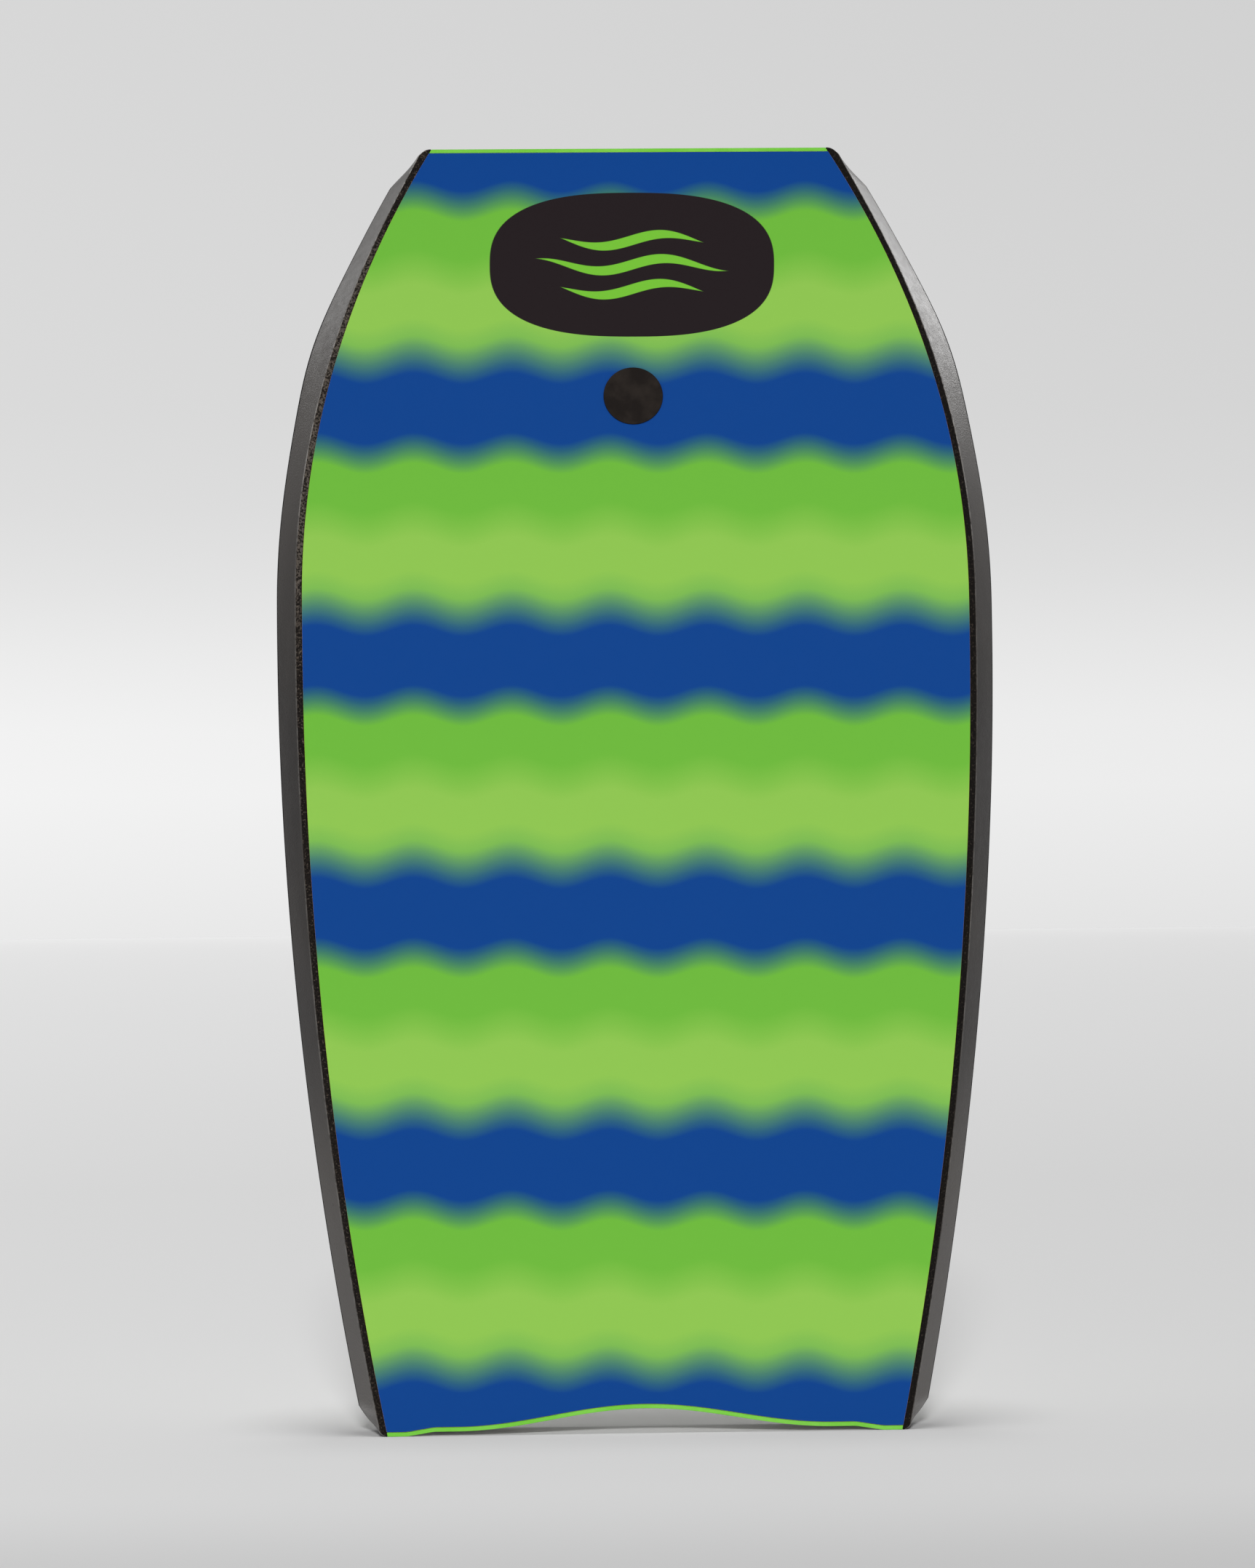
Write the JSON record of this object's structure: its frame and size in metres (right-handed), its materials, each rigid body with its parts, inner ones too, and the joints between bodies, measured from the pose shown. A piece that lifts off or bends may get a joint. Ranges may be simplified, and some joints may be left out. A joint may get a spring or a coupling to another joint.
{
  "type": "bodyboard",
  "caption": "Prone-riding bodyboard with a printed slick, soft deck, two-part foam rails, crescent tail, raised nose and a through-board leash plug.",
  "frame": {"origin": "on the ground under the middle of the upright board, level with the tail tips", "axes": "+Z from tail to nose, -Y is the side the printed slick faces, +Y is the deck side, X across the board with X = 0 in its plane of symmetry"},
  "size_m": [0.5798, 0.1198, 1.0463],
  "materials": {
    "slick_print_blue": "smooth polyethylene sheet with a blue and green wave print",
    "core_foam_white": "closed-cell foam",
    "backing_foam_grey": "thin foam film",
    "rail_foam_black": "cut and skinned foam",
    "chine_foam_black": "skinned foam",
    "deck_skin_lime": "pebbled soft foam skin",
    "end_strip_lime": "soft foam skin",
    "plug_plastic_black": "moulded nylon, satin"
  },
  "bodies": {
    "root": {"foam_core": "core_foam_white", "slick_sheet": "slick_print_blue", "slick_backing": "backing_foam_grey", "deck_skin": "deck_skin_lime", "rail_lower_left": "rail_foam_black", "rail_lower_right": "rail_foam_black", "rail_upper_left": "chine_foam_black", "rail_upper_right": "chine_foam_black", "nose_strip": "end_strip_lime", "tail_strip": "end_strip_lime", "leash_plug_cap": "plug_plastic_black", "leash_plug_cup": "plug_plastic_black"}
  },
  "joints": []
}
